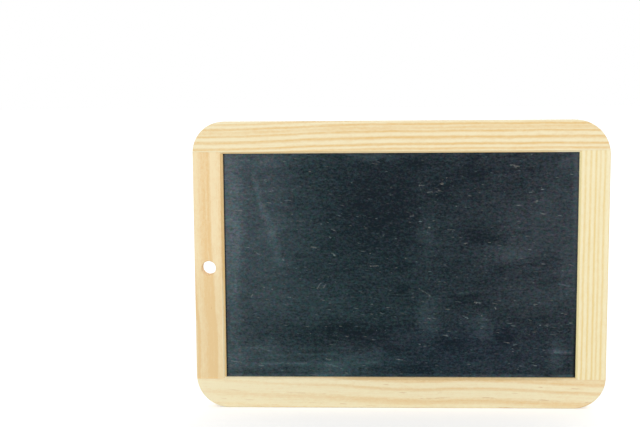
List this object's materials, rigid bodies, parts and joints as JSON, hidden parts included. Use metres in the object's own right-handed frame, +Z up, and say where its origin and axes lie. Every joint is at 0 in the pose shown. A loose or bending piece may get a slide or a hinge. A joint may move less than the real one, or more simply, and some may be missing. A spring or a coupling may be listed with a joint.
{
  "type": "slate writing board",
  "caption": "Natural slate panel in a jointed pine frame with rounded corners and a hanging hole, plain on one face and ruled in squares on the other, to write on with chalk.",
  "frame": {"origin": "under the middle of the board, on the surface that its long lower edge stands on", "axes": "+X along the long side to the right, +Z up, -Y out of the plain face and +Y out of the ruled face"},
  "size_m": [0.26, 0.008, 0.183],
  "materials": {
    "pine": "satin",
    "slate": "matte"
  },
  "bodies": {
    "root": {"slate_panel": "slate", "top_rail": "pine", "bottom_rail": "pine", "left_stile": "pine", "right_stile": "pine"}
  },
  "joints": []
}
